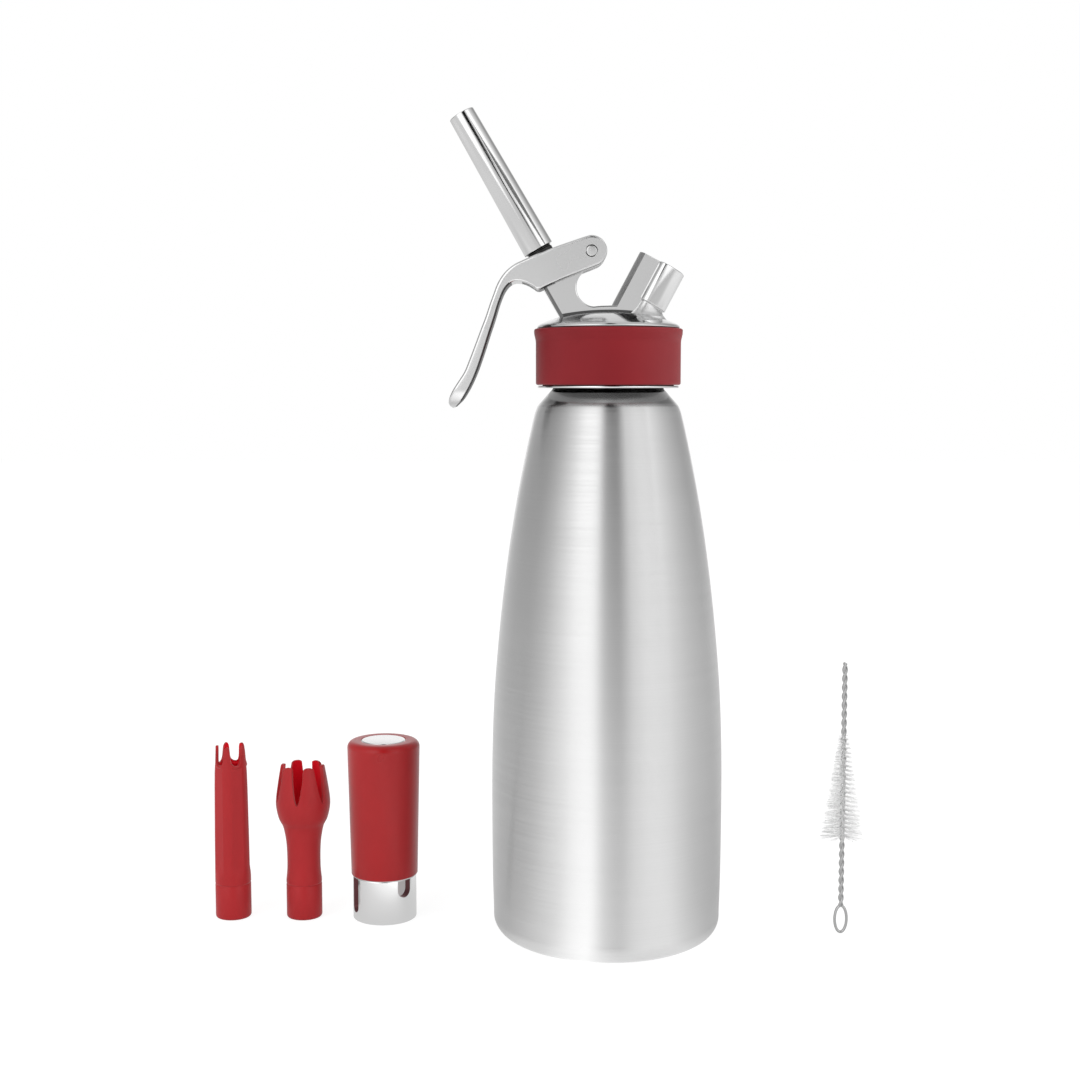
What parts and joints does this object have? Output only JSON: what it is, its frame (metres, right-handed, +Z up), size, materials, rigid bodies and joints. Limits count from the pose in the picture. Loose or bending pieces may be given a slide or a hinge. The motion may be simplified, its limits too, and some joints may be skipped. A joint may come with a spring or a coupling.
{
  "type": "whipped cream dispenser",
  "caption": "Pressure flask of brushed steel with a screw-on head, squeeze lever, leaning nozzle and charger port, shown with its charger holder, decorator tips and cleaning brush.",
  "frame": {"origin": "centre of the flask's flat underside, on the table", "axes": "+Z up the flask; the lever and nozzle lean to -X, the charger port to +X; -Y faces the viewer"},
  "size_m": [0.2672, 0.093, 0.3299],
  "materials": {
    "brushed": "brushed",
    "polished": "polished",
    "plain_steel": "satin",
    "silicone": "matt",
    "tip_plastic": "satin",
    "guide_plastic": "satin",
    "seal": "matt",
    "bristle": "matt"
  },
  "bodies": {
    "flask": {"bottle": "brushed"},
    "gasket": {"head_gasket": "seal"},
    "head": {"head_body": "polished", "grip_band": "silicone", "lever_pin": "polished", "valve_guide": "guide_plastic", "piercing_pin": "plain_steel", "port_seal": "seal", "check_valve": "seal", "inlet_screw": "plain_steel", "valve_spring": "plain_steel"},
    "lever": {"lever": "polished"},
    "valve": {"valve_stem": "plain_steel", "valve_seal": "seal", "valve_ring": "seal", "tip_adapter": "plain_steel", "nozzle_seal": "seal", "nozzle": "polished"},
    "charger_holder": {"holder_shell": "polished", "holder_sleeve": "silicone"},
    "straight_tip": {"straight_tip": "tip_plastic", "straight_insert": "plain_steel"},
    "tulip_tip": {"tulip_tip": "tip_plastic", "tulip_insert": "plain_steel"},
    "brush": {"brush_stem": "plain_steel", "brush_bristles": "bristle"}
  },
  "joints": [
    {"name": "head_rise", "type": "slide", "parent": "flask", "child": "gasket", "axis": [0, 0, 1], "range_m": [0, 0.00752]},
    {"name": "head_turn", "type": "hinge", "parent": "gasket", "child": "head", "pos_m": [0, 0, 0.2415], "axis": [0, 0, 1], "range_deg": [0, 900]},
    {"name": "lever_squeeze", "type": "hinge", "parent": "head", "child": "lever", "pos_m": [-0.007, 0, 0.2739], "axis": [0, -1, 0], "range_deg": [0, 10], "stiffness_Nm_per_rad": 0.6, "springref_deg": -5.73},
    {"name": "valve_press", "type": "slide", "parent": "head", "child": "valve", "axis": [0.5, 0, -0.866], "range_m": [0, 0.0031], "deforming": ["valve_spring"]},
    {"name": "holder_lift", "type": "slide", "parent": "flask", "child": "charger_holder", "axis": [0, 0, 1], "range_m": [0, 0.1]},
    {"name": "straight_tip_lift", "type": "slide", "parent": "flask", "child": "straight_tip", "axis": [0, 0, 1], "range_m": [0, 0.1]},
    {"name": "tulip_tip_lift", "type": "slide", "parent": "flask", "child": "tulip_tip", "axis": [0, 0, 1], "range_m": [0, 0.1]},
    {"name": "brush_lift", "type": "slide", "parent": "flask", "child": "brush", "axis": [0, 0, 1], "range_m": [0, 0.1]}
  ],
  "couplings": [
    {"joint": "head_rise", "follows": "head_turn", "m_per_rad": 0.00047746},
    {"joint": "valve_press", "follows": "lever_squeeze", "m_per_rad": 0.01724}
  ]
}
